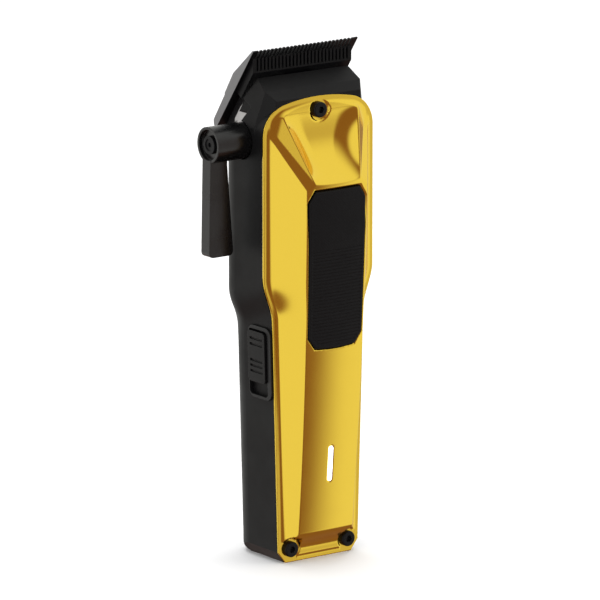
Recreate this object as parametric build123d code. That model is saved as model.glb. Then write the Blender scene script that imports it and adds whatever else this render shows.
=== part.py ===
"""Cordless hair clipper: a hand-held body with a plated front cover, a taper lever and a slanted blade set.

Millimetres. The clipper stands on its flat base: +Z runs up the body to the blade, -Y is the side of the
front cover and +X is to the right when the cover is faced. The origin is the middle of the base.
"""
import os
from math import atan, cos, degrees, hypot, radians, sin, sqrt, tan

from build123d import *

os.makedirs("parts", exist_ok=True)

# ------------------------------------------------------------------ body outline, seen from the front
base_half = 17.5            # half width at the base
waist_half = 20.0           # half width just under the waist
body_half = 24.0            # half width of the upper body
waist_z = 89.0              # where the waist starts to swell
shoulder_z = 105.0          # where the upper body reaches its full width
crown_z = 168.4             # top of the cover
crown_radius = 69.0         # arch of the cover's top edge
corner_radius = 11.5        # its two upper corners
foot_chamfer = (3.0, 4.0)   # bottom corners, across and up
head_half = body_half - 4.2 # half width of the head at its top edge
head_lean = 0.244           # how fast the head's sides close in towards the blade

# ------------------------------------------------------------------ body depth
rim_y = -14.0               # front face of the cover's rim
back_y = 14.5               # back of the housing
rim_thick = 0.8             # thickness of the cover's rim
wall = 2.2                  # housing wall
cover_wall = 1.5            # cover wall
back_radius = 11.0          # rounding of the long back edges
heel_radius = 3.5           # rounding of the bottom back edge
waist_drop = 11.0           # how much lower the waist runs at the back than at the rim
post_length = 8.5           # screw posts, behind the rim
post_radius = 3.4
head_crease = (rim_y + 3.2, crown_z + 3.0)   # Y and Z of the bend between the head's two front faces
head_edge = (-4.4, crown_z + 7.2)            # Y and Z of the head's top edge
head_facet = (body_half - 5.3, crown_z - 3.0)   # X and Z of the corner facet's lowest point, at the rim

# ------------------------------------------------------------------ blade set
blade_tilt = 36.0           # slope of the blade against the body's axis, degrees
blade_tip = (-6.4, crown_z + 17.0)   # Y and Z of the comb teeth's tips
blade_half = body_half - 1.0         # half width of the fixed blade
blade_length = 38.0         # tip to heel
blade_thick = 4.2           # greatest thickness of the fixed blade
comb_gaps = 25              # gaps between comb teeth
comb_gap = 0.8              # width of each gap
comb_depth = 7.5            # depth of each gap
end_tooth = 2.5             # width of the two end teeth
cutter_half = blade_half - 1.4       # half width of the moving blade
cutter_thick = 3.1
cutter_setback = 3.4        # how far the moving blade's tips lie behind the comb's, taper open
cutter_heel = 20.0          # its back edge, counted from the comb's tips
cutter_gaps = 26
cutter_gap = 0.75
cutter_stroke = 1.2         # to each side of the middle
blade_slip = 0.06           # clearance between faces that slide on each other
deck_drop = 4.4             # plastic deck of the head, below the blade's inner face
frame_drop = 3.6            # metal deck that stands proud of it
taper_travel = 2.4          # how far the lever draws the fixed blade back
screw_t = 30.0              # blade screws, counted from the comb's tips
screw_side = 9.0            # and to each side of the middle
screw_seat = 3.0            # level of their heads' seats

# ------------------------------------------------------------------ taper lever
lever_y, lever_z = -0.5, crown_z - 15.4
lever_hub_radius = 6.5
lever_hub_x = (-body_half - 14.3, -body_half + 3.5)
lever_recess = (5.5, 1.6)   # radius and depth of the hollow in the hub's end
notch_back = 12.2           # how far the hub's notch runs towards the blade
notch_low = 5.5             # and how deep it goes under the deck
lever_length = 40.5         # axis to the arm's end
lever_swing = 45.0          # degrees from taper open to closed
shaft_radius = 3.0
bush_radius = 4.2
crank_disc_radius = 5.2
crank_pin_radius = 1.5
lever_screw_radius = 1.6
shaft_end = -body_half - 6.0         # outer end of the shaft, inside the hub
cheek_x = (-body_half + 3.7, -body_half + 6.7)   # the frame's cheek that carries the shaft
leg_x = (cheek_x[1] + 2.9, cheek_x[1] + 6.1)     # the slide's leg that the crank pin moves
run_fit = 0.05              # radial clearance of a shaft in its bore
apart = 0.3                 # clearance between pieces that move past each other

# ------------------------------------------------------------------ drive
motor_y = -3.0
motor_radius = 12.2
motor_z = (crown_z - 62.4, crown_z - 25.4)
motor_shell = 0.9           # thickness of the motor's case
motor_screw_x = 8.0         # motor screws, to each side of the spindle
bracket_thick = 1.6
spindle_radius = 1.0
cam_radius = 4.6
cam_z = (motor_z[1] + 3.5, motor_z[1] + 8.5)
pin_radius = 1.25
pin_top = cam_z[1] + 8.0
fork_z = (pin_top - 5.0, pin_top - 0.7)

# ------------------------------------------------------------------ power
cell_radius = 9.1
cell_length = 65.0
cell_z = 23.0
cell_y = 2.6
board_thick = 1.6
board_y = cell_y - cell_radius - 1.6 - board_thick
socket_y = -0.8
socket_radius = 2.9         # the hole for the plug
contact_x = 9.0             # charging contacts, to each side of the socket

# ------------------------------------------------------------------ slide switch
switch_z = (59.7, 86.2)
switch_y = (-13.0, 0.2)
button_z = (65.7, 84.3)
button_y = (-10.4, -0.5)
switch_travel = 4.5

# ------------------------------------------------------------------ cover details
rim_width = 2.6             # rim at the sides
rim_top = 3.6               # rim at the top
rim_foot = 4.0              # rim at the bottom
crest = ((11.0, 5.1), (79.5, 10.1), (crown_z - 27.4, 12.1))   # Z and height over the rim along the strip
crest_curve = 120.0         # sideways rounding of the strip
strip_side = ((0.0, 5.5), (waist_z, 11.3), (shoulder_z, 11.75), (crown_z - 18.4, 13.1))
crest_y = rim_y - 12.6      # the level at which the strip has those half widths, given as Z and half width
screw_head_radius = 2.85
screw_core = 1.0
screw_places = ((-12.6, 4.9), (12.6, 4.9), (0.0, crown_z - 4.9))
well_room = 1.3             # room round the screws' heads
well_side, well_step = 10.4, 8.4     # the raised body stops short above the two lower screws
scoop_top = (rim_y - 1.2, crown_z - 5.1)     # Y and Z of the thumb scoop's upper edge
scoop_low = (rim_y - 12.0, crown_z - 29.4)   # and of its lower edge
scoop_sag = 3.4             # hollow of the scoop
flank_foot = (body_half - 4.0, crown_z - 10.9)   # X and Z of the flank facet's lowest point, at the rim
flank_slope = (-0.628, -0.749, 0.213)            # the way the left flank faces
pad_z = (79.5, crown_z - 31.7)
pad_sink = 1.0              # depth of the pad's pocket
pad_proud = 0.4
lens_z = (29.5, 42.5)
lens_width = 1.8

# ------------------------------------------------------------------ shared shapes
big = 400.0
depth = back_y - rim_y
taper = (waist_half - base_half) / waist_z
side_tilt = degrees(atan(taper))


def half_space(point, normal):
    """A large block on the side of the point that the normal shows."""
    return Plane(origin=point, z_dir=normal).location * Pos(0, 0, big / 2) * Box(big, big, big)


def prism(points, x0, x1):
    """A polygon of Y and Z points, run from x0 to x1."""
    loop = Polyline(*[(x0, y, z) for y, z in points], close=True)
    return extrude(make_face(loop), amount=x1 - x0, dir=(1, 0, 0))


def rod(radius, z0, z1, x=0.0, y=0.0):
    """An upright round bar."""
    return Pos(x, y, (z0 + z1) / 2) * Cylinder(radius, z1 - z0)


def rod_x(radius, x0, x1, y, z):
    """A round bar along X."""
    return Pos((x0 + x1) / 2, y, z) * Rot(0, 90, 0) * Cylinder(radius, x1 - x0)


def rod_y(radius, y0, y1, x, z):
    """A round bar along Y."""
    return Pos(x, (y0 + y1) / 2, z) * Rot(90, 0, 0) * Cylinder(radius, y1 - y0)


def block(x0, x1, y0, y1, z0, z1):
    """A box between two corners."""
    return Pos((x0 + x1) / 2, (y0 + y1) / 2, (z0 + z1) / 2) * Box(x1 - x0, y1 - y0, z1 - z0)


def side_half(z):
    """Half width of the body under the waist."""
    return base_half + taper * z


def mirrored(solid):
    """The same shape on the other side of the middle plane."""
    return mirror(solid, about=Plane.YZ)


def side_edges(y, inset, sign, low_z, high_z):
    """One side of the outline from low_z up to high_z: taper, swelling waist, straight upper body."""
    low = (sign * (side_half(low_z) - inset), y, low_z)
    waist = (sign * (waist_half - inset), y, waist_z)
    shoulder = (sign * (body_half - inset), y, shoulder_z)
    swell = Spline(waist, shoulder, tangents=[(sign * taper, 0, 1), (0, 0, 1)])
    return [Line(low, waist), swell, Line(shoulder, (sign * (body_half - inset), y, high_z))]


def arch_points(inset, drop=0.0):
    """Tangent points and middle of the right upper corner's arc, as X and Z."""
    centre_z = crown_z - drop - crown_radius
    x = body_half - corner_radius
    reach = crown_radius - corner_radius
    z = centre_z + sqrt(reach ** 2 - x ** 2)
    radius = corner_radius - inset
    out = (x / reach, (z - centre_z) / reach)
    length = hypot(1 + out[0], out[1])
    middle = (x + radius * (1 + out[0]) / length, z + radius * out[1] / length)
    return (x + radius, z), middle, (x + radius * out[0], z + radius * out[1])


def arch_face(y, inset=0.0, drop=0.0, foot_z=0.0, chamfer=foot_chamfer):
    """Outline of the cover: arched top, waist, tapered lower body and chamfered bottom corners."""
    side, middle, top = arch_points(inset, drop)
    across, up = chamfer
    foot = side_half(foot_z) - inset - across
    edges = [Line((foot, y, foot_z), (-foot, y, foot_z))]
    for sign in (1, -1):
        corner = side_half(foot_z + up) - inset
        edges.append(Line((sign * foot, y, foot_z), (sign * corner, y, foot_z + up)))
        edges.extend(side_edges(y, inset, sign, foot_z + up, side[1]))
        edges.append(ThreePointArc(*[(sign * x, y, z) for x, z in (side, middle, top)]))
    crown = crown_z - drop - inset
    edges.append(ThreePointArc((top[0], y, top[1]), (0, y, crown), (-top[0], y, top[1])))
    return make_face(edges)


blade_place = Plane(
    origin=(0, *blade_tip),
    x_dir=(1, 0, 0),
    z_dir=(0, cos(radians(blade_tilt)), sin(radians(blade_tilt))),
).location
along = (0.0, sin(radians(blade_tilt)), -cos(radians(blade_tilt)))
outward = (0.0, cos(radians(blade_tilt)), sin(radians(blade_tilt)))


def blade_point(t, n):
    """Y and Z of a place t behind the comb's tips and n outside the fixed blade's inner face."""
    return blade_tip[0] + along[1] * t + outward[1] * n, blade_tip[1] + along[2] * t + outward[2] * n


def blade_block(x0, x1, t0, t1, n0, n1):
    """A box squared up with the blade set."""
    return blade_place * block(x0, x1, t0, t1, n0, n1)


def blade_prism(points, x0, x1):
    """A polygon of t and n points, run from x0 to x1."""
    return prism([blade_point(t, n) for t, n in points], x0, x1)


def above_blade(n):
    """Everything outside the level n of the blade set."""
    return half_space((0, *blade_point(0, n)), outward)


lever_t = (lever_y - blade_tip[0]) * along[1] + (lever_z - blade_tip[1]) * along[2]
lever_n = (lever_y - blade_tip[0]) * outward[1] + (lever_z - blade_tip[1]) * outward[2]


# ------------------------------------------------------------------ housing
def tall_form(inset=0.0):
    """The body's sides and back, run past the head, with its long back edges rounded."""
    low_z = -waist_drop - 10
    high_z = crown_z + 30
    edges = []
    for sign in (1, -1):
        edges.extend(side_edges(rim_y, inset, sign, low_z, high_z))
    for z in (low_z, high_z):
        half = (side_half(low_z) if z == low_z else body_half) - inset
        edges.append(Line((-half, rim_y, z), (half, rim_y, z)))
    run = depth - inset
    form = extrude(make_face(edges), amount=hypot(run, waist_drop * run / depth), dir=(0, depth, -waist_drop))
    form -= half_space((0, 0, inset), (0, 0, -1))
    back = form.edges().filter_by(lambda e: abs(e.center().Y - (back_y - inset)) < 0.01)
    sides = back.filter_by(lambda e: abs(e.center().X) > 1)
    form = fillet(sides, back_radius - inset)
    heel = form.edges().filter_by(lambda e: abs(e.center().Z - inset) < 0.01 and e.center().Y > back_y - 3)
    return fillet(heel.sort_by(Axis.Y)[-1:], heel_radius - min(inset, heel_radius - 1))


def head_form(inset=0.0):
    """The body trimmed to the faceted head: two sloped front faces, closing sides and two corner facets."""
    form = tall_form(inset)
    crease_y, crease_z = head_crease
    lower_front = Vector(0, crown_z - crease_z, crease_y - rim_y)
    upper_front = Vector(0, crease_z - head_edge[1], head_edge[0] - crease_y)
    for normal in (lower_front, upper_front):
        point = Vector(0, crease_y, crease_z) - normal.normalized() * inset
        form -= half_space(point, normal)
    for sign in (1, -1):
        side = Vector(sign, 0, head_lean)
        point = Vector(sign * head_half, *head_edge) - side.normalized() * inset
        form -= half_space(point, side)
        facet = Vector(sign * 0.778, -0.625, 0.073)
        point = Vector(sign * head_facet[0], rim_y, head_facet[1]) - facet.normalized() * inset
        form -= half_space(point, facet)
    return form


def arch_form(inset=0.0):
    """The body trimmed straight back along the cover's outline."""
    face = arch_face(rim_y - 1, inset, foot_z=-1 if inset == 0 else inset, chamfer=(0.01, 0.01))
    return tall_form(inset) & extrude(face, amount=depth + 2, dir=(0, 1, 0))


def body_form(inset=0.0):
    """Outside of the body, or the space a wall's thickness inside it."""
    return head_form(inset) + arch_form(inset)


def foot_corners():
    """What the chamfers take off the two bottom corners."""
    across, up = foot_chamfer
    normal = (up, 0, -across)
    cut = half_space((side_half(up), 0, up), normal)
    return cut + mirrored(cut)


def lever_notch(x0, x1):
    """The opening in the head's side for the lever's hub, open towards the blade."""
    hub = rod_x(lever_hub_radius + apart, x0, x1, lever_y, lever_z)
    floor_n = -deck_drop - notch_low
    top_t = lever_t - notch_back
    above = 4 - deck_drop
    past = lever_t + 7
    slot = blade_prism([(top_t, floor_n), (top_t + 2.5, above), (past, above), (past, floor_n)], x0, x1)
    return hub + slot


body_outside = body_form()
body_inside = body_form(wall)


def rear_housing():
    """One moulded tub: walls, back, base and faceted head, open at the front and at the deck."""
    shell = body_outside - foot_corners()
    before_cover = half_space((0, rim_y + rim_thick, 0), (0, -1, 0))
    shell -= before_cover & half_space((0, 0, shoulder_z + 15), (0, 0, -1))
    front_trim = extrude(arch_face(rim_y - 1, 0), amount=1 + rim_thick, dir=(0, 1, 0))
    shell -= front_trim
    hollow = body_inside & half_space((0, 0, crown_z - rim_top - 4), (0, 0, -1))
    hollow += body_inside & half_space((0, rim_y + 5.5, 0), (0, 1, 0))
    shell -= hollow
    shell -= above_blade(-deck_drop)
    shell -= lever_notch(-body_half - 6, -body_half + wall + 1)
    for x, z in screw_places:
        shell += rod_y(post_radius, rim_y + rim_thick, rim_y + post_length, x, z) & body_outside
        shell -= rod_y(screw_core, rim_y + rim_thick, rim_y + post_length - 0.3, x, z)
    return shell


# ------------------------------------------------------------------ front cover
def crest_band(low, high):
    """The strip's crowned front surface as a slab, from low to high over its own level."""
    z_low, h_low = crest[0]
    z_mid, h_mid = crest[1]
    z_top, h_top = crest[2]
    front = rim_y - high
    behind = rim_y - low
    curl = ThreePointArc((0, front + 0.6, rim_foot), (0, front - 0.72 * h_low, rim_foot + 2.0),
                         (0, front - h_low, z_low))
    points = [(h_low, z_low), (h_mid, z_mid), (h_top, z_top)]
    arc = ThreePointArc(*[(0, front - h, z) for h, z in points])
    ceiling = Line((0, front - h_top, z_top), (0, front - h_top, crown_z + 5))
    edges = [curl, arc, ceiling]
    if low <= -20:
        rest = Polyline((0, front - h_top, crown_z + 5), (0, behind, crown_z + 5), (0, behind, rim_foot - 2),
                        (0, front + 0.6, rim_foot - 2), (0, front + 0.6, rim_foot))
    else:
        back = ThreePointArc(*[(0, behind - h, z) for h, z in reversed(points)])
        edges += [Line((0, front - h_top, crown_z + 5), (0, behind - h_top, crown_z + 5)),
                  Line((0, behind - h_top, crown_z + 5), (0, behind - h_top, z_top)), back]
        rest = Line((0, behind - h_low, z_low), (0, front + 0.6, rim_foot))
    edges.append(rest)
    axis = Axis((0, rim_y + crest_curve, 0), (0, 0, 1))
    turn = 24.0
    solid = revolve(make_face(edges), axis=axis, revolution_arc=turn)
    return solid.rotate(axis, -turn / 2)


def strip_face(y, inset):
    """Outline of the raised strip at its crest, matched edge by edge to the cover's outline."""
    edges = []
    (z0, w0), (z1, w1), (z2, w2), (z3, w3) = strip_side
    top_z = crown_z - rim_top - 1.5 - inset
    foot = rim_foot + inset
    w_foot = w0 + (w1 - w0) * foot / z1
    edges.append(Line((w_foot - 1.5 - inset, y, foot), (inset + 1.5 - w_foot, y, foot)))
    for sign in (1, -1):
        points = [(w_foot - 1.5 - inset, foot), (w_foot - inset, foot + 2), (w1 - inset, z1)]
        points += [(w2 - inset, z2), (w3 - inset, z3), (w3 - 1.0 - inset, top_z - 1.0)]
        for (xa, za), (xb, zb) in zip(points, points[1:]):
            edges.append(Line((sign * xa, y, za), (sign * xb, y, zb)))
    edges.append(ThreePointArc((w3 - 1.0 - inset, y, top_z - 1.0), (0, y, top_z),
                               (inset + 1.0 - w3, y, top_z - 1.0)))
    return make_face(edges)


def cover_base(inset):
    """Outline of the raised body where it stands on the rim."""
    return arch_face(rim_y, rim_width + inset, rim_top - rim_width, rim_foot + inset, (1.2, 2.0))


def screw_wells(inset):
    """Round room for the screws' heads; with an inset, the outside of the wells' walls."""
    y0, y1 = rim_y - 30, rim_y + 5
    wells = [rod_y(screw_head_radius + well_room + inset, y0, y1, x, z) for x, z in screw_places]
    step = block(well_side - inset, body_half, y0, y1, -5, well_step + inset)
    return Compound(children=wells) + step + mirrored(step)


def raised_form(inset=0.0):
    """The cover's raised body: sloped sides, crowned strip, thumb scoop and its two flanks."""
    form = loft([cover_base(inset), strip_face(crest_y, inset)], ruled=True)
    form &= crest_band(-30, -inset)
    (ya, za), (yb, zb) = scoop_top, scoop_low
    chord = hypot(yb - ya, zb - za)
    radius = (chord ** 2 / 4 + scoop_sag ** 2) / (2 * scoop_sag)
    away = ((zb - za) / chord, -(yb - ya) / chord)
    centre = ((ya + yb) / 2 + away[0] * (radius - scoop_sag), (za + zb) / 2 + away[1] * (radius - scoop_sag))
    form -= rod_x(radius + inset, -30, 30, *centre)
    flank = Vector(*flank_slope)
    cut = half_space(Vector(-flank_foot[0], rim_y, flank_foot[1]) - flank * inset, flank)
    form -= cut + mirrored(cut)
    return form - screw_wells(inset)


def rim_opening():
    """The hole in the rim's plate that joins the raised body's hollow."""
    return extrude(cover_base(cover_wall), amount=rim_thick + 1, dir=(0, 1, 0)) - screw_wells(cover_wall)


def pad_outline(y, gap):
    """Outline of the grip pad: wide top corners cut off, bottom corners cut off, slightly bowed bottom."""
    z0, z1 = pad_z
    right = [(8.6 + gap, z0 - gap), (11.55 + gap, z0 + 3.5), (12.3 + gap, z1 - 4.0), (9.6 + gap, z1 + gap)]
    low_x, low_z = right[0]
    top_x, top_z = right[3]
    edges = [ThreePointArc((-low_x, y, low_z), (0, y, low_z - 0.5), (low_x, y, low_z))]
    edges.append(Line((top_x, y, top_z), (-top_x, y, top_z)))
    for sign in (1, -1):
        for (xa, za), (xb, zb) in zip(right, right[1:]):
            edges.append(Line((sign * xa, y, za), (sign * xb, y, zb)))
    return make_face(edges)


def pad_form(gap, low, high):
    """The pad, or its pocket, as a slab that follows the strip."""
    column = extrude(pad_outline(rim_y - 20, gap), amount=20, dir=(0, 1, 0))
    return column & crest_band(low, high)


def lens_form(gap, y0, y1):
    """The upright light slot with round ends."""
    mid = (lens_z[0] + lens_z[1]) / 2
    length = lens_z[1] - lens_z[0] + 2 * gap
    place = Plane(origin=(0, y1, mid), x_dir=(0, 0, 1), z_dir=(0, -1, 0))
    return extrude(place * SlotOverall(length, lens_width + 2 * gap), amount=y1 - y0)


raised_outside = raised_form()


def front_cover():
    """Thin plated shell: flat rim, raised faceted body, pocket for the pad and slot for the light."""
    rim = extrude(arch_face(rim_y), amount=rim_thick, dir=(0, 1, 0))
    shell = raised_outside + rim
    shell -= raised_form(cover_wall)
    shell -= rim_opening()
    shell += pad_form(2.0, -pad_sink - 1.2, -0.6) & raised_outside
    shell -= pad_form(0.15, -pad_sink, 3.0)
    shell -= lens_form(0.05, rim_y - 20, rim_y + 5)
    for x, z in screw_places:
        shell -= rod_y(1.25, rim_y - 5, rim_y + 5, x, z)
    return shell


def grip_pad():
    """Soft grip let into the strip."""
    return pad_form(0.0, -pad_sink + 0.001, pad_proud)


def light_lens():
    """Clear bar of the charge light, flush with the strip."""
    return lens_form(0.0, rim_y - 20, rim_y - 4.2) & crest_band(-3.4, 0.05)


def cover_screws():
    """Three socket-head screws that hold the cover."""
    group = []
    for x, z in screw_places:
        head = rod_y(screw_head_radius, rim_y - 1.5, rim_y - 0.01, x, z)
        head = fillet(head.edges().sort_by(Axis.Y)[0], 0.45)
        socket = extrude(RegularPolygon(1.35, 6), amount=1.0, both=True)
        head -= Pos(x, rim_y - 1.5, z) * Rot(90, 0, 0) * socket
        group.append(head + rod_y(screw_core, rim_y - 0.01, rim_y + post_length - 0.5, x, z))
    return Compound(children=group)


# ------------------------------------------------------------------ blade set
def comb_slots(count, gap, span, depth, start, n0, n1):
    """The gaps of a row of teeth."""
    pitch = (span - gap) / (count - 1)
    slots = []
    for i in range(count):
        x = -(span - gap) / 2 + i * pitch
        slots.append(blade_block(x - gap / 2, x + gap / 2, start - 2, start + depth, n0, n1))
    return slots


def fixed_blade():
    """Hardened comb blade: bevelled outer face, fine teeth, two screw holes, rounded heel."""
    profile = [(0, 0), (0, 0.55), (14.5, blade_thick), (24.0, blade_thick - 0.5), (24.4, blade_thick - 0.9),
               (36.5, 2.9), (blade_length, 1.6), (blade_length, 0)]
    blade = blade_prism(profile, -blade_half, blade_half)
    span = 2 * (blade_half - end_tooth)
    blade -= comb_slots(comb_gaps, comb_gap, span, comb_depth, 0, -1, 6)
    for x in (-screw_side, screw_side):
        blade -= blade_place * Pos(x, screw_t, 2) * Cylinder(1.35, 12)
        blade -= blade_place * Pos(x, screw_t, screw_seat + 1) * Cylinder(3.1, 2)
    return blade


def moving_blade():
    """Cutter: fine teeth on an upright bevel, drawn side to side under the comb."""
    slope = cutter_thick / tan(radians(blade_tilt))
    tip, low = cutter_setback, -blade_slip - cutter_thick
    profile = [(tip, -blade_slip), (tip + slope, low), (cutter_heel, low), (cutter_heel, -blade_slip)]
    blade = blade_prism(profile, -cutter_half, cutter_half)
    span = 2 * (cutter_half - 1.6)
    blade -= comb_slots(cutter_gaps, cutter_gap, span, slope - 0.4, tip, -6, 1)
    return blade


carriage_t = (cutter_heel + 2.0, blade_length - 1.0)
crank_reach = taper_travel / (2 * sin(radians(lever_swing / 2)))


def blade_carriage():
    """Steel slide that carries the fixed blade; its leg is moved by the lever's crank pin."""
    top, low = 0.0, -frame_drop + 0.05
    slide_half = blade_half - 4.0
    slide = blade_block(-slide_half, slide_half, *carriage_t, low, top)
    leg = blade_block(*leg_x, lever_t - 5.0, lever_t + 3.0, lever_n - 1.2, top)
    slide += leg
    pin_t = lever_t - taper_travel / 2
    pin_n = lever_n + crank_reach * cos(radians(lever_swing / 2))
    grip = crank_pin_radius + 0.12
    rise = crank_reach * (1 - cos(radians(lever_swing / 2))) + grip + 0.15
    slot_n = (pin_n - grip - 0.15, pin_n + rise)
    slide -= blade_block(leg_x[0] - 1, leg_x[1] + 1, pin_t - grip, pin_t + grip, *slot_n)
    for x in (-screw_side, screw_side):
        slide -= blade_place * Pos(x, screw_t, 0) * Cylinder(1.3, 12)
    return slide


def blade_screws():
    """Two screws that clamp the fixed blade to its slide."""
    group = []
    for x in (-screw_side, screw_side):
        shank = blade_place * Pos(x, screw_t, 0) * Cylinder(1.3, 6.8)
        head = blade_place * Pos(x, screw_t, screw_seat + 0.7) * Cylinder(2.9, 1.4)
        head -= blade_block(x - 0.4, x + 0.4, screw_t - 4, screw_t + 4, screw_seat + 0.7, screw_seat + 3)
        group.append(shank + head)
    return Compound(children=group)


def head_frame():
    """Cast metal frame in the head: deck for the blade slide and a cheek that carries the lever's bush."""
    inside = body_form(wall + 0.1)
    deck = blade_block(-body_half, body_half, 8.0, 40.0, -8.0, -frame_drop)
    cheek = blade_block(*cheek_x, 14.0, 40.0, lever_n - 7.5, -frame_drop)
    frame = (deck + cheek) & inside
    frame &= block(cheek_x[0], -cheek_x[0], rim_y + 5.8, 100, motor_z[1] + 3.0, 300)
    frame -= blade_block(-6.2, 6.2, 8.5, 20.5, -12, 0)
    frame -= blade_block(leg_x[0] - 0.4, leg_x[1] + 0.4, lever_t - 5.4, lever_t + 3.4 + taper_travel, -12, 0)
    frame -= rod_x(bush_radius, cheek_x[0] - 2, cheek_x[1] + 1, lever_y, lever_z)
    for x in (-screw_side, screw_side):
        frame -= blade_block(x - 1.8, x + 1.8, screw_t - 1.8, screw_t + 1.8 + taper_travel, -12, 0)
    return frame


# ------------------------------------------------------------------ taper lever
def taper_lever():
    """Moulded lever: long hub with a recessed end, and an arm that hangs beside the body."""
    x0, x1 = lever_hub_x
    hub = rod_x(lever_hub_radius, x0, x1, lever_y, lever_z)
    y0, y1 = lever_y - 1.7, lever_y + 3.2
    z1 = lever_z - lever_length
    side = [(x0, lever_z), (x0 + 7.1, lever_z), (x0 + 7.1, lever_z - 8), (x0 + 9.7, z1), (x0 - 0.8, z1),
            (x0 - 0.4, lever_z - 18)]
    loop = Polyline(*[(x, y0, z) for x, z in side], close=True)
    arm = extrude(make_face(loop), amount=y1 - y0, dir=(0, 1, 0))
    arm = fillet(arm.edges().filter_by(Axis.Y).sort_by(Axis.Z)[:2], 1.8)
    lever = hub + arm
    lever -= rod_x(lever_recess[0], x0 - 1, x0 + lever_recess[1], lever_y, lever_z)
    lever -= rod_x(shaft_radius, shaft_end, x1 + 1, lever_y, lever_z)
    lever -= rod_x(lever_screw_radius, x0, shaft_end + 2, lever_y, lever_z)
    return lever


def lever_shaft():
    """Steel shaft with a crank disc and pin that moves the blade slide."""
    disc = cheek_x[1] + 0.4
    shaft = rod_x(shaft_radius, shaft_end, disc, lever_y, lever_z)
    shaft += rod_x(crank_disc_radius, disc, leg_x[0] - apart, lever_y, lever_z)
    pin_y = lever_y - taper_travel / 2 * along[1] + crank_reach * cos(radians(lever_swing / 2)) * outward[1]
    pin_z = lever_z - taper_travel / 2 * along[2] + crank_reach * cos(radians(lever_swing / 2)) * outward[2]
    shaft += rod_x(crank_pin_radius, leg_x[0] - apart, leg_x[1] + 0.5, pin_y, pin_z)
    shaft -= rod_x(lever_screw_radius, shaft_end - 1, shaft_end + 6, lever_y, lever_z)
    return shaft


def lever_screw():
    """Screw in the hub's recess that holds the lever on its shaft."""
    x0 = lever_hub_x[0]
    screw = rod_x(3.3, x0 + 0.3, x0 + lever_recess[1], lever_y, lever_z)
    screw -= rod_x(2.2, x0, x0 + 0.7, lever_y, lever_z)
    screw += rod_x(lever_screw_radius, x0 + 1.0, shaft_end + 6, lever_y, lever_z)
    screw -= rod_x(0.9, x0, x0 + 1.5, lever_y, lever_z)
    return screw


def lever_bush():
    """Plain bearing pressed into the frame's cheek."""
    bush = rod_x(bush_radius, cheek_x[0], cheek_x[1] + 0.1, lever_y, lever_z)
    return bush - rod_x(shaft_radius + run_fit, cheek_x[0] - 2, cheek_x[1] + 1, lever_y, lever_z)


# ------------------------------------------------------------------ drive
def motor_can():
    """Steel motor case, open at the lower end."""
    can = rod(motor_radius, *motor_z, y=motor_y)
    can -= rod(motor_radius - motor_shell, motor_z[0] - 1, motor_z[1] - 1.2, y=motor_y)
    for sign in (1, -1):
        can -= rod(screw_core, motor_z[1] - 2, motor_z[1] + 1, x=sign * motor_screw_x, y=motor_y)
    return can - rod(spindle_radius + 0.06, motor_z[0], motor_z[1] + 1, y=motor_y)


def motor_end_cap():
    """Moulded cap that closes the motor and carries its terminals."""
    cap = rod(motor_radius - motor_shell, motor_z[0], motor_z[0] + 2.5, y=motor_y)
    terminal = block(-0.4, 0.4, motor_y - 1.2, motor_y + 1.2, motor_z[0] - 3.5, motor_z[0])
    for x in (-7.0, 7.0):
        cap += Pos(x, 0, 0) * terminal
    return cap


def motor_rotor():
    """Wound rotor on its spindle."""
    core = rod(motor_radius - 2.6, motor_z[0] + 8, motor_z[1] - 5, y=motor_y)
    core += rod(3.6, motor_z[0] + 4, motor_z[0] + 8, y=motor_y)
    return core + rod(spindle_radius, motor_z[0] + 3, cam_z[0] + 3, y=motor_y)


def drive_cam():
    """Round cam pressed on the spindle, with the off-centre pin that drives the cutter."""
    cam = rod(cam_radius, *cam_z, y=motor_y)
    cam += rod(pin_radius, cam_z[1], pin_top, x=cutter_stroke, y=motor_y)
    return cam - rod(spindle_radius, cam_z[0] - 1, cam_z[0] + 3, y=motor_y)


def drive_fork():
    """Moulded follower fixed under the cutter; the cam's pin works in its slot."""
    seat = -cutter_thick - blade_slip
    foot = blade_block(-4.4, 4.4, 12.2, 18.6, seat - 2.0, seat)
    reach_x = cutter_stroke * 2 + pin_radius + apart
    reach_y = cutter_stroke + pin_radius + apart
    back = motor_y + reach_y
    front = motor_y - 1.5
    column = [blade_point(12.5, seat), blade_point(18.6, seat), blade_point(18.6, -8.6)]
    column += [(back + 1.7, pin_top + 0.5), (back + 1.7, fork_z[0]), (back, fork_z[0])]
    column += [(back, pin_top + 0.7), (front, pin_top + 0.7), (front, pin_top + 8.5)]
    fork = foot + prism(column, -3.0, 3.0)
    tab = block(-reach_x - 2.0, reach_x + 2.0, motor_y - reach_y - 1.8, back + 1.7, *fork_z)
    tab -= block(-reach_x, reach_x, motor_y - reach_y, back, fork_z[0] - 1, fork_z[1] + 1)
    return fork + tab


def motor_bracket():
    """Plate that holds the motor's front end, standing on the housing's back wall."""
    top = motor_z[1] + bracket_thick
    plate = block(-body_half, body_half, rim_y + rim_thick + 0.5, back_y, motor_z[1], top)
    plate &= body_form(wall + 0.05)
    plate -= rod(4.0, motor_z[1] - 1, top + 1, y=motor_y)
    for sign in (1, -1):
        plate -= rod(screw_core, motor_z[1] - 1, top + 1, x=sign * motor_screw_x, y=motor_y)
    return plate


def motor_screws():
    """Two screws between the bracket and the motor."""
    group = []
    top = motor_z[1] + bracket_thick
    for sign in (1, -1):
        screw = rod(screw_core, motor_z[1] - 1.2, top, x=sign * motor_screw_x, y=motor_y)
        group.append(screw + rod(1.9, top, top + 1.0, x=sign * motor_screw_x, y=motor_y))
    return Compound(children=group)


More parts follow.
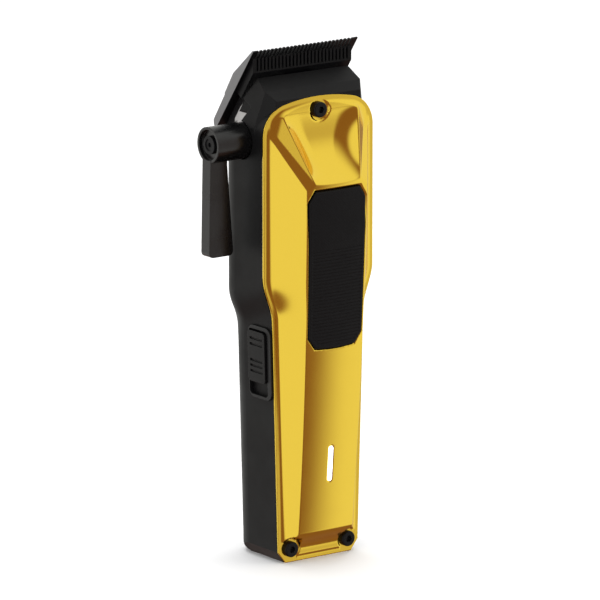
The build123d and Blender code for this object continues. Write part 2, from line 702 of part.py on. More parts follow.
# ------------------------------------------------------------------ power and control
def battery_cell():
    """One rechargeable cell with its raised contact."""
    cell = rod(cell_radius, cell_z, cell_z + cell_length, y=cell_y)
    return cell + rod(2.8, cell_z + cell_length, cell_z + cell_length + 0.8, y=cell_y)


def battery_cradle():
    """Moulded tray between the cell and the back wall."""
    tray = block(-11.0, 11.0, cell_y, back_y, cell_z + 2, cell_z + cell_length - 2)
    tray &= body_form(wall + 0.05)
    return tray - rod(cell_radius + 0.1, cell_z, cell_z + cell_length, y=cell_y)


def battery_tabs():
    """Welded strips on the cell's two ends."""
    low = block(-2.5, 2.5, cell_y - 9.0, cell_y + 3, cell_z - 0.3, cell_z)
    high = block(-2.5, 2.5, cell_y - 9.0, cell_y + 2, cell_z + cell_length + 0.8, cell_z + cell_length + 1.1)
    return Compound(children=[low, high])


def circuit_board():
    """Control board in front of the cell, with its parts."""
    board = block(-11.0, 11.0, board_y, board_y + board_thick, 24.0, 86.0)
    board += block(-6.0, -1.0, board_y - 1.2, board_y, 48.0, 54.0)
    board += block(2.0, 8.0, board_y - 2.0, board_y, 60.0, 66.0)
    return board + block(-4.0, 4.0, board_y - 1.5, board_y, 76.0, 79.0)


def light_board():
    """Small lamp strip behind the lens."""
    return block(-1.6, 1.6, board_y - 1.0, board_y, 30.0, 42.0)


def charging_socket():
    """Round charging socket in the base, with a centre pin."""
    body = rod(4.6, 1.0, 13.0, y=socket_y) + rod(3.9, 0.2, 1.0, y=socket_y)
    body -= rod(socket_radius, -1.0, 10.0, y=socket_y)
    return body + rod(0.65, 1.5, 10.5, y=socket_y)


def charge_contacts():
    """Two flush contacts for a charging stand."""
    group = []
    for sign in (1, -1):
        group.append(rod(1.5, 0.1, wall + 1.0, x=sign * contact_x, y=socket_y))
    return Compound(children=group)


switch_mid = ((switch_y[0] + switch_y[1]) / 2, (switch_z[0] + switch_z[1]) / 2)
switch_place = Plane(
    origin=(-side_half(switch_mid[1]), switch_mid[0], switch_mid[1]),
    x_dir=(0, 1, 0),
    z_dir=(-cos(radians(side_tilt)), 0, -sin(radians(side_tilt))),
).location
panel_width = switch_y[1] - switch_y[0]
panel_height = switch_z[1] - switch_z[0]
button_width = button_y[1] - button_y[0]
button_height = button_z[1] - button_z[0]
button_x = (button_y[0] + button_y[1]) / 2 - switch_mid[0]
button_v = switch_mid[1] - (button_z[0] + button_z[1]) / 2
panel_proud = 0.7
track_margin = 0.5


def switch_slab(width, height, radius, low, high, x=0.0, v=0.0):
    """A rounded plate lying on the body's left side; low and high are levels over the wall."""
    face = Pos(x, v, low) * RectangleRounded(width, height, radius)
    return switch_place * extrude(face, amount=high - low)


def switch_track(margin, low, high):
    """The room the button sweeps over its travel."""
    return switch_slab(button_width + 2 * margin, button_height + switch_travel + 2 * margin, 1.6, low, high,
                       button_x, button_v + switch_travel / 2)


def switch_panel():
    """Moulded surround of the slide switch, let into the side wall."""
    panel = switch_slab(panel_width, panel_height, 3.0, -0.8, panel_proud)
    return panel - switch_track(track_margin, -2, 2)


def switch_button():
    """Slide button with finger grooves; a stem behind it moves the switch."""
    button = switch_slab(button_width, button_height, 1.4, -0.3, 1.5, button_x, button_v)
    for v in (-6.6, -4.4, 1.4, 3.4, 5.4):
        button -= switch_slab(button_width - 2.4, 0.9, 0.4, 1.0, 2.0, button_x, button_v + v)
    return button + switch_slab(3.0, 3.0, 0.5, -3.6, -0.3, button_x, button_v)


def switch_body():
    """The electrical slide switch, fixed inside the wall."""
    body = switch_slab(7.0, 16.0, 0.5, -7.0, -wall - 0.9, button_x, button_v + switch_travel / 2)
    return body - switch_slab(3.8, 3.8 + switch_travel, 0.6, -4.2, 0, button_x, button_v + switch_travel / 2)


def finish_housing(shell):
    """Cut the housing for the socket, the contacts and the switch, and add the posts inside."""
    shell -= rod(4.05, -1, 1.0, y=socket_y) + rod(4.65, 0.95, 5, y=socket_y)
    for sign in (1, -1):
        shell -= rod(1.55, -1, 5, x=sign * contact_x, y=socket_y)
    shell -= switch_slab(panel_width + 0.1, panel_height + 0.1, 3.05, -0.85, 3)
    shell -= switch_slab(3.8, 3.8 + switch_travel, 0.6, -5, 0, button_x, button_v + switch_travel / 2)
    return shell


# ------------------------------------------------------------------ write every piece
pieces = {
    "rear_housing": lambda: finish_housing(rear_housing()),
    "front_cover": front_cover,
    "grip_pad": grip_pad,
    "light_lens": light_lens,
    "cover_screws": cover_screws,
    "fixed_blade": fixed_blade,
    "moving_blade": moving_blade,
    "blade_carriage": blade_carriage,
    "blade_screws": blade_screws,
    "head_frame": head_frame,
    "taper_lever": taper_lever,
    "lever_shaft": lever_shaft,
    "lever_screw": lever_screw,
    "lever_bush": lever_bush,
    "motor_can": motor_can,
    "motor_end_cap": motor_end_cap,
    "motor_rotor": motor_rotor,
    "drive_cam": drive_cam,
    "drive_fork": drive_fork,
    "motor_bracket": motor_bracket,
    "motor_screws": motor_screws,
    "battery_cell": battery_cell,
    "battery_cradle": battery_cradle,
    "battery_tabs": battery_tabs,
    "circuit_board": circuit_board,
    "light_board": light_board,
    "charging_socket": charging_socket,
    "charge_contacts": charge_contacts,
    "switch_panel": switch_panel,
    "switch_button": switch_button,
    "switch_body": switch_body,
}
for name, make in pieces.items():
    export_step(make(), f"parts/{name}.step")
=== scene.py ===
"""Cordless hair clipper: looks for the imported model, piece by piece, in metres."""

import math

import bpy
import numpy as np
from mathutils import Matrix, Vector


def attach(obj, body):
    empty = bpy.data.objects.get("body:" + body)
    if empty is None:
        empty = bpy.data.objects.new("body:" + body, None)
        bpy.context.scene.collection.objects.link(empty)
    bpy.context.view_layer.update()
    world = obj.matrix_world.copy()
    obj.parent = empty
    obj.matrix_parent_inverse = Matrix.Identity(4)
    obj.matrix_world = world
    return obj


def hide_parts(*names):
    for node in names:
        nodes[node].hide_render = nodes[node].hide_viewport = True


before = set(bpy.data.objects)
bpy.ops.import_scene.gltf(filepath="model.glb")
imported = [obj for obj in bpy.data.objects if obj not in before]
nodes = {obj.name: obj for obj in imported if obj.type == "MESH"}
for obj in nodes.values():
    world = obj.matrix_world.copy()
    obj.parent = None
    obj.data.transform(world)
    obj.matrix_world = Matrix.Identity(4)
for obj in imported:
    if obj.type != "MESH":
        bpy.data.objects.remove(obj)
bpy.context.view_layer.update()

# ---------------------------------------------------------------- studio
# A pale floor lit by soft boxes to the left, to the right and overhead. Polished metal sees something
# else: a dim, warm room with lit panels, which gives it its dark tones. The camera has a long lens.
scene = bpy.context.scene
scene.view_settings.view_transform = "Standard"

view_azimuth, view_elevation = math.radians(-36.4), math.radians(13.2)
toward_camera = Vector((math.sin(view_azimuth) * math.cos(view_elevation),
                        -math.cos(view_azimuth) * math.cos(view_elevation),
                        math.sin(view_elevation)))
picture_width = 0.2135
aim = Vector((-0.0022, -0.0060, 0.0932))
lens_length, film_width = 400.0, 36.0
camera_data = bpy.data.cameras.new("camera")
camera_data.lens = lens_length
camera_data.sensor_width = film_width
camera_data.clip_start, camera_data.clip_end = 0.05, 50.0
camera = bpy.data.objects.new("camera", camera_data)
scene.collection.objects.link(camera)
camera.location = aim + toward_camera * (picture_width * lens_length / film_width)
camera.rotation_mode = "QUATERNION"
camera.rotation_quaternion = (-toward_camera).to_track_quat("-Z", "Y")
scene.camera = camera

stand_middle = (0.0, 0.0, 0.09)
dim_room = (0.27, 0.14, 0.112)
lit_panel = (0.97, 0.97, 0.93)
# each panel: the way it lies, the cosines at which its soft edge starts and ends, and whether it is an
# upright one, placed by its bearing alone
panels = (
    ((-0.96, -0.28, 0.0), 0.66, 0.90, True),
    ((0.93, -0.36, 0.0), 0.74, 0.92, True),
    ((0.56, 0.05, 0.82), 0.45, 0.92, False),
    ((0.10, 0.97, 0.0), 0.35, 0.80, True),
)
table_edge = (-0.62, -0.50)     # how steeply down a direction points where the panels fade out


def room_colour(tree, direction):
    """Nodes for what polished metal sees in each direction: lit panels in a dim, warm room."""
    level = tree.nodes.new("ShaderNodeVectorMath")
    level.operation = "MULTIPLY"
    tree.links.new(direction, level.inputs[0])
    level.inputs[1].default_value = (1.0, 1.0, 0.0)
    round_about = tree.nodes.new("ShaderNodeVectorMath")
    round_about.operation = "NORMALIZE"
    tree.links.new(level.outputs[0], round_about.inputs[0])
    height = tree.nodes.new("ShaderNodeSeparateXYZ")
    tree.links.new(direction, height.inputs[0])
    above_table = tree.nodes.new("ShaderNodeMapRange")
    above_table.interpolation_type = "SMOOTHSTEP"
    above_table.inputs["From Min"].default_value = table_edge[0]
    above_table.inputs["From Max"].default_value = table_edge[1]
    tree.links.new(height.outputs["Z"], above_table.inputs["Value"])
    lit = None
    for way, start, full, upright in panels:
        facing = tree.nodes.new("ShaderNodeVectorMath")
        facing.operation = "DOT_PRODUCT"
        tree.links.new(round_about.outputs[0] if upright else direction, facing.inputs[0])
        facing.inputs[1].default_value = Vector(way).normalized()
        edge = tree.nodes.new("ShaderNodeMapRange")
        edge.interpolation_type = "SMOOTHSTEP"
        edge.inputs["From Min"].default_value = start
        edge.inputs["From Max"].default_value = full
        tree.links.new(facing.outputs["Value"], edge.inputs["Value"])
        if lit is None:
            lit = edge.outputs["Result"]
            continue
        either = tree.nodes.new("ShaderNodeMath")
        either.operation = "MAXIMUM"
        tree.links.new(lit, either.inputs[0])
        tree.links.new(edge.outputs["Result"], either.inputs[1])
        lit = either.outputs[0]
    mix = tree.nodes.new("ShaderNodeMix")
    mix.data_type = "RGBA"
    seen_panel = tree.nodes.new("ShaderNodeMath")
    seen_panel.operation = "MULTIPLY"
    tree.links.new(lit, seen_panel.inputs[0])
    tree.links.new(above_table.outputs["Result"], seen_panel.inputs[1])
    tree.links.new(seen_panel.outputs[0], mix.inputs["Factor"])
    mix.inputs[6].default_value = (*dim_room, 1.0)
    mix.inputs[7].default_value = (*lit_panel, 1.0)
    return mix.outputs[2]


studio = bpy.data.worlds.new("studio")
scene.world = studio
studio.use_nodes = True
sky = studio.node_tree
plain = sky.nodes["Background"]
plain.inputs["Color"].default_value = (1.0, 1.0, 1.0, 1.0)
plain.inputs["Strength"].default_value = 0.75
seen = sky.nodes.new("ShaderNodeBackground")
compass = sky.nodes.new("ShaderNodeTexCoord")
sky.links.new(room_colour(sky, compass.outputs["Generated"]), seen.inputs["Color"])
ray = sky.nodes.new("ShaderNodeLightPath")
choose = sky.nodes.new("ShaderNodeMixShader")
sky.links.new(ray.outputs["Is Glossy Ray"], choose.inputs["Fac"])
sky.links.new(plain.outputs[0], choose.inputs[1])
sky.links.new(seen.outputs[0], choose.inputs[2])
sky.links.new(choose.outputs[0], sky.nodes["World Output"].inputs["Surface"])


def soft_box(name, place, width, height, watts):
    """A rectangular studio light that faces the clipper."""
    light = bpy.data.lights.new(name, "AREA")
    light.shape = "RECTANGLE"
    light.size, light.size_y = width, height
    light.energy = watts
    lamp = bpy.data.objects.new(name, light)
    scene.collection.objects.link(lamp)
    lamp.location = place
    lamp.rotation_mode = "QUATERNION"
    lamp.rotation_quaternion = (Vector(stand_middle) - Vector(place)).to_track_quat("-Z", "Y")
    lamp.visible_glossy = False


soft_box("left_box", (-1.3, -0.55, 0.35), 0.9, 1.1, 7.0)
soft_box("right_box", (1.1, -0.85, 0.45), 0.7, 1.0, 5.0)
soft_box("top_box", (0.2, 0.35, 1.5), 1.4, 1.2, 16.0)

floor_reach = 4.0
floor_mesh = bpy.data.meshes.new("floor")
corners = [(-floor_reach, -floor_reach, 0), (floor_reach, -floor_reach, 0),
           (floor_reach, floor_reach, 0), (-floor_reach, floor_reach, 0)]
floor_mesh.from_pydata(corners, [], [(0, 1, 2, 3)])
floor = bpy.data.objects.new("floor", floor_mesh)
scene.collection.objects.link(floor)
pale = bpy.data.materials.new("pale_floor")
pale.use_nodes = True
ground = pale.node_tree
matt = ground.nodes["Principled BSDF"]
matt.inputs["Base Color"].default_value = (0.95, 0.95, 0.95, 1.0)
matt.inputs["Roughness"].default_value = 0.9
matt.inputs["Specular IOR Level"].default_value = 0.1
floor_mesh.materials.append(pale)
floor.visible_glossy = False    # so that polished metal sees the room below, too


# ---------------------------------------------------------------- rear housing and head
# One injection-moulded tub in black glass-filled nylon, with a fine spark-eroded grain and edges worn
# slightly smooth by handling; its edges are painted lighter, partly as wear and partly as a painted
# highlight. It carries every other piece; the cover closes its front.
mm = 0.001


def black_or_metal(name, colour, roughness, metal=0.0, specular=0.5, grain=0.25, grain_depth=0.01, edge=0.35,
                   edge_wear_and_highlight=1.6, patch=0.06, brushed=None, speckled=0.18):
    """A finish with grain, uneven polish and edges painted brighter, partly as wear and partly as a painted
    highlight; sizes in millimetres.
    """
    finish = bpy.data.materials.new(name)
    finish.use_nodes = True
    tree = finish.node_tree
    shader = tree.nodes["Principled BSDF"]
    shader.inputs["Metallic"].default_value = metal
    shader.inputs["Specular IOR Level"].default_value = specular
    place = tree.nodes.new("ShaderNodeTexCoord")
    stretch = tree.nodes.new("ShaderNodeMapping")
    stretch.inputs["Scale"].default_value = brushed or (1.0, 1.0, 1.0)
    tree.links.new(place.outputs["Object"], stretch.inputs["Vector"])
    fine = tree.nodes.new("ShaderNodeTexNoise")
    fine.inputs["Scale"].default_value = 1.0 / (grain * mm)
    fine.inputs["Detail"].default_value = 2.0
    tree.links.new(stretch.outputs[0], fine.inputs["Vector"])
    broad = tree.nodes.new("ShaderNodeTexNoise")
    broad.inputs["Scale"].default_value = 90.0
    broad.inputs["Detail"].default_value = 4.0
    tree.links.new(place.outputs["Object"], broad.inputs["Vector"])
    polish = tree.nodes.new("ShaderNodeMapRange")
    polish.inputs["From Min"].default_value = 0.3
    polish.inputs["From Max"].default_value = 0.7
    polish.inputs["To Min"].default_value = roughness - patch
    polish.inputs["To Max"].default_value = roughness + patch
    tree.links.new(broad.outputs["Fac"], polish.inputs["Value"])
    tree.links.new(polish.outputs["Result"], shader.inputs["Roughness"])
    round_edge = tree.nodes.new("ShaderNodeBevel")
    round_edge.samples = 4
    round_edge.inputs["Radius"].default_value = edge * mm
    true_face = tree.nodes.new("ShaderNodeNewGeometry")
    agree = tree.nodes.new("ShaderNodeVectorMath")
    agree.operation = "DOT_PRODUCT"
    tree.links.new(round_edge.outputs[0], agree.inputs[0])
    tree.links.new(true_face.outputs["Normal"], agree.inputs[1])
    # edge mask: edges are painted lighter, partly as wear and partly as a painted highlight
    wear_and_highlight_edges = tree.nodes.new("ShaderNodeMapRange")
    wear_and_highlight_edges.inputs["From Min"].default_value = 0.995
    wear_and_highlight_edges.inputs["From Max"].default_value = 0.80
    tree.links.new(agree.outputs["Value"], wear_and_highlight_edges.inputs["Value"])
    tone = tree.nodes.new("ShaderNodeMix")
    tone.data_type = "RGBA"
    tree.links.new(wear_and_highlight_edges.outputs["Result"], tone.inputs["Factor"])
    speckle = tree.nodes.new("ShaderNodeMix")
    speckle.data_type = "RGBA"
    tree.links.new(fine.outputs["Fac"], speckle.inputs["Factor"])
    speckle.inputs[6].default_value = (*[(1 - speckled) * c for c in colour], 1.0)
    speckle.inputs[7].default_value = (*[(1 + speckled) * c for c in colour], 1.0)
    tree.links.new(speckle.outputs[2], tone.inputs[6])
    # the lighter edge colour: partly wear, partly a painted highlight
    tone.inputs[7].default_value = (*[min(1.0, edge_wear_and_highlight * c) for c in colour], 1.0)
    tree.links.new(tone.outputs[2], shader.inputs["Base Color"])
    bump = tree.nodes.new("ShaderNodeBump")
    bump.inputs["Strength"].default_value = 1.0
    bump.inputs["Distance"].default_value = grain_depth * mm
    tree.links.new(fine.outputs["Fac"], bump.inputs["Height"])
    tree.links.new(round_edge.outputs[0], bump.inputs["Normal"])
    tree.links.new(bump.outputs[0], shader.inputs["Normal"])
    return finish


def paint(node_name, finish):
    """Gives a carried-over piece its finish."""
    mesh = nodes[node_name].data
    mesh.materials.clear()
    mesh.materials.append(finish)


housing_black = black_or_metal("housing_black", (0.0042, 0.0042, 0.0045), 0.46, specular=0.17, grain=0.22,
                               grain_depth=0.012, edge=0.45, edge_wear_and_highlight=2.2)
paint("rear_housing", housing_black)


# ---------------------------------------------------------------- front cover
# One pressed and polished metal lid, plated gold and held by three socket screws. Its flat rim lies on
# the housing; inside the rim a faceted body rises to a crowned strip, with pockets for the grip pad and
# the light. A hollow for the thumb is pressed in at the top, between two straight ridges.
base_half, waist_half, body_half = 17.5, 20.0, 24.0
waist_z, shoulder_z = 89.0, 105.0
crown_z, crown_radius, corner_radius = 168.4, 69.0, 11.5
foot_cut = 4.0
rim_y, rim_width, rim_back = -14.0, 2.4, 0.8
cover_thick = 1.5
strip_curve = 120.0
strip_half_low, strip_half_rise = 11.47, 0.0094
corner_x = body_half - corner_radius
corner_z = crown_z - crown_radius + math.sqrt((crown_radius - corner_radius) ** 2 - corner_x ** 2)


def outline_half(z):
    """Half width of the cover at a height, below its arched corners."""
    t = np.clip((z - waist_z) / (shoulder_z - waist_z), 0.0, 1.0)
    tapered = base_half + (waist_half - base_half) * np.minimum(z, waist_z) / waist_z
    slope = (waist_half - base_half) / waist_z * (shoulder_z - waist_z)
    swell = (t ** 3 - 2 * t ** 2 + t) * slope + (3 * t ** 2 - 2 * t ** 3) * (body_half - waist_half)
    return tapered + swell


def inside_edge(x, z):
    """How far a point lies inside the cover's outline."""
    side = outline_half(z) - np.abs(x)
    dx, dz = np.abs(x) - corner_x, z - corner_z
    in_corner = (dx > 0) & (dz > 0) & (dx * (corner_z - crown_z + crown_radius) > corner_x * dz - 1e-9)
    corner = corner_radius - np.hypot(dx, dz)
    crown = crown_radius - np.hypot(x, z - (crown_z - crown_radius))
    top = np.where(in_corner, corner, crown)
    cut = (side + (z - foot_cut) * 0.75) / 1.25
    edge = np.where(z > corner_z - 20, np.minimum(side, np.minimum(top, crown)), side)
    edge = np.where(z < 2 * foot_cut, np.minimum(edge, cut), edge)
    return np.minimum(edge, z)


def arc_through(a, b, c):
    """Centre and radius of the circle through three points."""
    (ax, ay), (bx, by), (cx, cy) = a, b, c
    d = 2 * (ax * (by - cy) + bx * (cy - ay) + cx * (ay - by))
    aa, bb, cc = ax ** 2 + ay ** 2, bx ** 2 + by ** 2, cx ** 2 + cy ** 2
    ux = (aa * (by - cy) + bb * (cy - ay) + cc * (ay - by)) / d
    uy = (aa * (cx - bx) + bb * (ax - cx) + cc * (bx - ax)) / d
    return ux, uy, math.hypot(ax - ux, ay - uy)


crest = ((11.0, 5.1), (79.5, 10.1), (141.0, 12.1))      # Z and height of the strip's middle line
strip_z0, strip_h0, strip_r = arc_through(*crest)


def strip_line(z):
    """Height of the strip's middle over the rim."""
    return strip_h0 + np.sqrt(strip_r ** 2 - (z - strip_z0) ** 2)


def strip_height(x, z):
    """Height of the crowned strip."""
    return strip_line(z) - (strip_curve - np.sqrt(strip_curve ** 2 - x ** 2))


def soft_min(a, b, radius):
    """The lower of two heights, with a rounded ridge."""
    k = np.clip(0.5 + 0.5 * (b - a) / radius, 0, 1)
    return b + (a - b) * k - radius * k * (1 - k)


def soft_max(a, b, radius):
    """The higher of two heights, with a rounded valley."""
    return -soft_min(-a, -b, radius)


def smooth(t):
    """An S-shaped step from 0 to 1."""
    t = np.clip(t, 0, 1)
    return t * t * (3 - 2 * t)


def plane_height(p, q, r):
    """Height function of the plane through three points of X, Z and height."""
    m = np.array([[p[0], p[1], 1], [q[0], q[1], 1], [r[0], r[1], 1]], float)
    a, b, c = np.linalg.solve(m, np.array([p[2], q[2], r[2]], float))
    return lambda x, z: a * x + b * z + c


ridge_top, ridge_low = (16.6, 163.3, 1.2), (9.75, 139.0, 12.0)    # X, Z and height of a ridge's two ends
facet_foot, facet_heel = (20.0, 157.5, 0.0), (12.9, 136.2, 12.0)
flank_upper = plane_height(facet_foot, ridge_top, ridge_low)
flank_lower = plane_height(facet_foot, ridge_low, facet_heel)
no_cut = 99.0                                  # a height above everything, where nothing is pressed in
hollow_depth = 4.6
hollow_wall = 8.5
screw_places = ((-12.6, 4.9), (12.6, 4.9), (0.0, 163.5))
pad_low, pad_high = 79.5, 136.7
pad_corners = ((8.6, pad_low), (11.6, pad_low + 4.0), (12.3, pad_high - 4.0), (9.6, pad_high))
pad_bow = 0.5
light_z, light_half = (29.5, 42.5), 0.9
hollow_from = 128.0                            # the hollow and its flanks lie above this height
upper_z, upper_rise, upper_run = 150.0, 12.0, 8.8   # above upper_z the sides rise at one set slope
roll_from, roll_over = 3.6, 7.8                # the strip rolls down to the rim at its foot
body_round, hollow_round, well_round, rim_round = 0.45, 0.22, 0.4, 1.5
well_radius, well_slope = 4.1, 5.0
step_x, step_z, step_slope = 9.6, 8.2, 4.0     # the step beside each lower screw
lip_low, lip_more, lip_from, lip_over = 0.35, 0.6, 116.0, 16.0   # the pad's lip widens towards its top
lip_drop, pocket_drop, pocket_edge = 0.75, 1.0, 0.12
light_lip = 0.3


def pad_distance(x, z):
    """Signed distance from the grip pad's outline, positive outside it."""
    ax = np.abs(x)
    far = np.full(np.shape(x), -1e3)
    for (xa, za), (xb, zb) in zip(pad_corners, pad_corners[1:]):
        length = math.hypot(xb - xa, zb - za)
        far = np.maximum(far, ((ax - xa) * (zb - za) - (z - za) * (xb - xa)) / length)
    bow = pad_bow * (1 - (ax / pad_corners[0][0]) ** 2)
    far = np.maximum(far, (pad_low - bow) - z)
    return np.maximum(far, z - pad_high)


def light_distance(x, z):
    """Signed distance from the light slot's outline."""
    near = np.clip(z, light_z[0] + light_half, light_z[1] - light_half)
    return np.hypot(x, z - near) - light_half


def thumb_hollow(x, z):
    """The pressed hollow between its ridges, and the two flat flanks beyond them."""
    ax = np.abs(x)
    t = (ridge_top[1] - z) / (ridge_top[1] - ridge_low[1])
    ridge_x = ridge_top[0] + (ridge_low[0] - ridge_top[0]) * t
    ridge_h = ridge_top[2] + (ridge_low[2] - ridge_top[2]) * t
    sink = hollow_depth * 4 * np.clip(t, 0, 1) * (1 - np.clip(t, 0, 1))
    share = np.clip((ridge_x - ax) / hollow_wall, 0, 1)
    bowl = ridge_h - sink * (1 - (1 - share) ** 2.2)
    flank = np.maximum(flank_upper(ax, z), flank_lower(ax, z))
    return np.where(z < hollow_from, no_cut, np.where(ax < ridge_x, bowl, flank))


def cover_height(x, z):
    """Height of the cover's outer surface over its rim."""
    ax = np.abs(x)
    inner = inside_edge(x, z) - rim_width
    strip_half = strip_half_low + strip_half_rise * z
    run = np.where(z < upper_z, np.maximum(outline_half(z) - rim_width - strip_half, 1.0), upper_run)
    slope = np.where(z < upper_z, strip_line(np.minimum(z, crest[-1][0])) / run, upper_rise / upper_run)
    strip = strip_height(x, z)
    rolled = strip * smooth((z - roll_from) / roll_over)
    height = soft_min(inner * slope, rolled, body_round)
    height = soft_min(height, thumb_hollow(x, z), hollow_round)
    for sx, sz in screw_places:
        apart = np.hypot(x - sx, z - sz)
        height = soft_min(height, (apart - well_radius) * well_slope, well_round)
    stepped = soft_min(height, (z - step_z) * step_slope, well_round)
    height = np.where(ax > step_x, stepped, height)
    gap = pad_distance(x, z)
    lip = lip_low + lip_more * smooth((z - lip_from) / lip_over)
    lip_height = strip - lip_drop + lip_drop * np.clip(gap / lip, 0, 1)
    pocket = np.where(gap < pocket_edge, strip - pocket_drop, np.where(gap < lip, lip_height, no_cut))
    height = np.minimum(height, pocket)
    slot = light_distance(x, z)
    slot_edge = strip - light_lip * (1 - np.clip(slot / light_lip, 0, 1))
    height = np.minimum(height, np.where(slot < light_lip, slot_edge, no_cut))
    return soft_max(height, np.zeros_like(height), rim_round)


def closed_sheet(name, outer, inner, stride):
    """A closed shell from a grid of outer points and a coarser grid of inner ones, stitched at the edge."""
    rows, cols = outer.shape[:2]
    low_rows, low_cols = inner.shape[:2]
    points = np.concatenate([outer.reshape(-1, 3), inner.reshape(-1, 3)]) * mm
    top = np.arange(rows * cols).reshape(rows, cols)
    under = rows * cols + np.arange(low_rows * low_cols).reshape(low_rows, low_cols)
    faces = np.stack([top[:-1, :-1], top[:-1, 1:], top[1:, 1:], top[1:, :-1]], -1).reshape(-1, 4).tolist()
    back = np.stack([under[:-1, :-1], under[1:, :-1], under[1:, 1:], under[:-1, 1:]], -1)
    faces += back.reshape(-1, 4).tolist()
    rims = ((top[0], under[0], False), (top[-1], under[-1], True),
            (top[:, 0], under[:, 0], True), (top[:, -1], under[:, -1], False))
    for fine, coarse, forward in rims:
        for k in range(len(coarse) - 1):
            run = fine[k * stride:(k + 1) * stride + 1].tolist()
            face = run + [int(coarse[k + 1]), int(coarse[k])]
            faces.append(face if forward else face[::-1])
    mesh = bpy.data.meshes.new(name)
    mesh.from_pydata(points.tolist(), [], faces)
    mesh.update()
    mesh.polygons.foreach_set("use_smooth", [True] * len(mesh.polygons))
    obj = bpy.data.objects.new(name, mesh)
    scene.collection.objects.link(obj)
    return obj


def outline_rows(count_low, count_corner, count_crown):
    """Heights and half widths of the grid's rows, closing up where the crown narrows."""
    top_x = corner_x * crown_radius / (crown_radius - corner_radius)
    top_z = crown_z - crown_radius + math.sqrt(crown_radius ** 2 - top_x ** 2)
    pairs = []
    for z in np.linspace(0.0, corner_z, count_low, endpoint=False):
        pairs.append((z, float(outline_half(z)) - max(0.0, (foot_cut - z) * 0.75)))
    for a in np.linspace(0, math.atan2(top_z - corner_z, top_x - corner_x), count_corner):
        pairs.append((corner_z + corner_radius * math.sin(a), corner_x + corner_radius * math.cos(a)))
    for x in np.linspace(top_x, 0.02, count_crown + 1)[1:]:
        pairs.append((crown_z - crown_radius + math.sqrt(crown_radius ** 2 - x ** 2), x))
    return np.array(pairs)


stride = 4
side_columns, near_column, far_column = 84, 36, 52


def column_places(z, half):
    """Places of the grid's columns in each row: one runs along the pad's edge and then the hollow's ridge,
    and one along the strip's edge and then the flank's, so that both stay crisp."""
    pad_edge = np.interp(z, [c[1] for c in pad_corners], [c[0] for c in pad_corners])
    ridge_lean = (ridge_top[0] - ridge_low[0]) / (ridge_top[1] - ridge_low[1])
    flank_lean = (facet_foot[0] - facet_heel[0]) / (facet_foot[1] - facet_heel[1])
    ridge = ridge_low[0] + (z - ridge_low[1]) * ridge_lean
    flank = facet_heel[0] + (z - facet_heel[1]) * flank_lean
    near = np.where(z < pad_high, pad_edge, np.maximum(ridge, pad_corners[-1][0]))
    near = np.minimum(near, 0.75 * half)
    far = np.where(z < facet_heel[1], strip_half_low + strip_half_rise * z, flank)
    far = np.clip(far, near + 0.1 * (half - near), near + 0.85 * (half - near))
    share = np.abs(np.arange(-side_columns, side_columns + 1))
    stops = np.stack([np.zeros_like(half), near, far, half], -1)
    marks = (0, near_column, far_column, side_columns)
    places = np.array([np.interp(share, marks, stop) for stop in stops])
    return places * np.sign(np.arange(-side_columns, side_columns + 1))


rows = outline_rows(460, 41, 40)
grid_x = column_places(rows[:, 0], rows[:, 1])
grid_z = np.repeat(rows[:, 0:1], grid_x.shape[1], 1)
heights = cover_height(grid_x, grid_z)
outer = np.stack([grid_x, rim_y - heights, grid_z], -1)
inner_heights = np.maximum(heights - cover_thick, -rim_back)
inner = np.stack([grid_x, rim_y - inner_heights, grid_z], -1)[::stride, ::stride]
inner[[0, -1], :, 1] = rim_y + rim_back
inner[:, [0, -1], 1] = rim_y + rim_back
cover = closed_sheet("cover_shell", outer, inner, stride)
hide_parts("front_cover")
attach(cover, "housing")
gold = black_or_metal("plated_gold", (0.87, 0.61, 0.070), 0.15, metal=1.0, specular=0.5, grain=0.5,
                      grain_depth=0.0001, edge=0.2, edge_wear_and_highlight=1.1, patch=0.02, speckled=0.02)
cover.data.materials.append(gold)


# ---------------------------------------------------------------- grip pad
# A soft moulded insert in black rubber, glued into its pocket. Its lower part carries fine cross ribs and
# its upper part a fine diamond grain, both cut by the mould; the edge is rounded all round.
pad_proud, pad_sink, pad_round = 0.4, 0.95, 0.6
rib_pitch, rib_deep, rib_top = 1.2, 0.22, 115.0
diamond_pitch, diamond_deep = 1.1, 0.10
pad_rows = np.linspace(0, 1, 393)
pad_across = np.linspace(-1, 1, 97)


def pad_half(z):
    """Half width of the pad at a height."""
    return np.interp(z, [c[1] for c in pad_corners], [c[0] for c in pad_corners])


pad_z = pad_low + (pad_high - pad_low) * pad_rows[:, None]
pad_x = pad_half(pad_z) * pad_across[None, :]
pad_z = pad_z - pad_bow * (1 - (pad_x / pad_corners[0][0]) ** 2) * np.clip(1 - (pad_z - pad_low) / 4.0, 0, 1)
deep_inside = np.clip(-pad_distance(pad_x, pad_z), 0, None)
edge_drop = pad_round * (1 - np.sqrt(np.clip(1 - (1 - np.clip(deep_inside / pad_round, 0, 1)) ** 2, 0, 1)))
ribs = rib_deep * (0.5 - 0.5 * np.cos(2 * math.pi * (pad_z - pad_low) / rib_pitch)) ** 2
diamonds = diamond_deep * (np.abs(np.sin(math.pi * (pad_x + pad_z) / diamond_pitch))
                           * np.abs(np.sin(math.pi * (pad_x - pad_z) / diamond_pitch)))
pattern = np.where(pad_z < rib_top, ribs, diamonds) * smooth((deep_inside - 0.9) / 0.5)
pad_out = strip_height(pad_x, pad_z) + pad_proud - edge_drop - pattern
pad_outer = np.stack([pad_x, rim_y - pad_out, pad_z], -1)
pad_inner = np.stack([pad_x, rim_y - (strip_height(pad_x, pad_z) - pad_sink), pad_z], -1)[::stride, ::stride]
pad = closed_sheet("grip_insert", pad_outer, pad_inner, stride)
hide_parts("grip_pad")
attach(pad, "housing")
